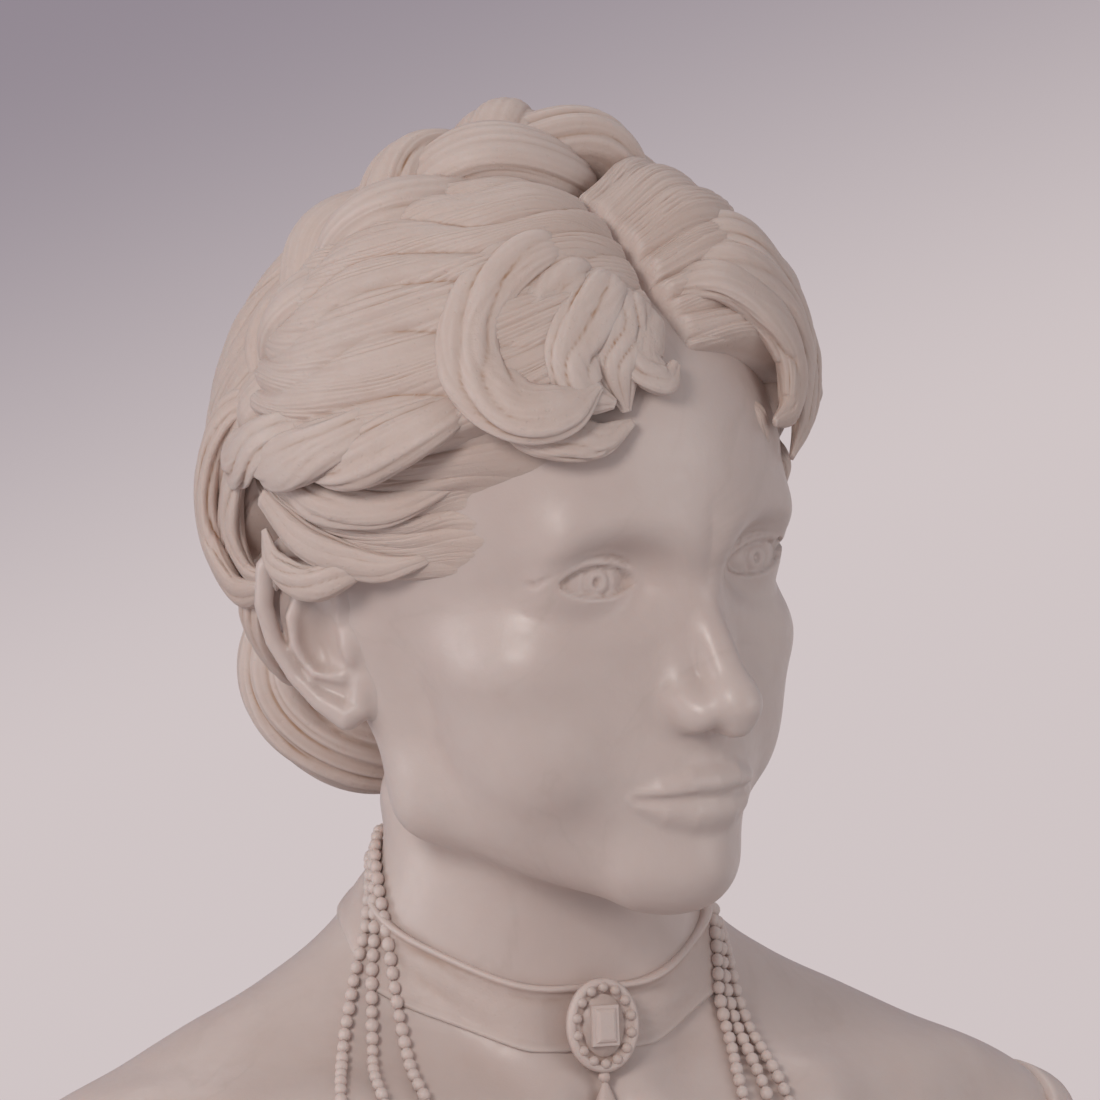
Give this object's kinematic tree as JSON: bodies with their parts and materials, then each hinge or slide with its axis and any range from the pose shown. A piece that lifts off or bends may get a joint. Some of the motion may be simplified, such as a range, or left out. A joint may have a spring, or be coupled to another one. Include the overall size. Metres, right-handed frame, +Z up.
{
  "type": "portrait bust",
  "caption": "Life-size white marble bust of a woman with waved, plaited hair, choker and beads, turning on a round socle with a square plinth.",
  "frame": {"origin": "middle of the baize's underside, on the turning axis of the dowel", "axes": "+Z up, -Y the front of the chest, +X the sitter's left; the head looks 18 degrees towards +X"},
  "size_m": [0.3874, 0.2356, 0.725],
  "materials": {
    "carved_marble": "polished skin, matt hair, warm stain in the hollows",
    "turned_marble": "turned and polished, faint grey veins",
    "bearing_brass": "turned, dulled",
    "forged_iron": "dark, oiled",
    "green_baize": "napped wool felt"
  },
  "bodies": {
    "stand": {"baize": "green_baize", "plinth": "turned_marble", "socle": "turned_marble", "dowel": "forged_iron", "plate_washer": "forged_iron", "dowel_nut": "forged_iron", "bearing_washer": "bearing_brass"},
    "figure": {"bust": "carved_marble", "dowel_bush": "bearing_brass"}
  },
  "joints": [
    {"name": "bust_swivel", "type": "hinge", "parent": "stand", "child": "figure", "pos_m": [0, 0, 0.132], "axis": [0, 0, 1], "continuous": true}
  ]
}
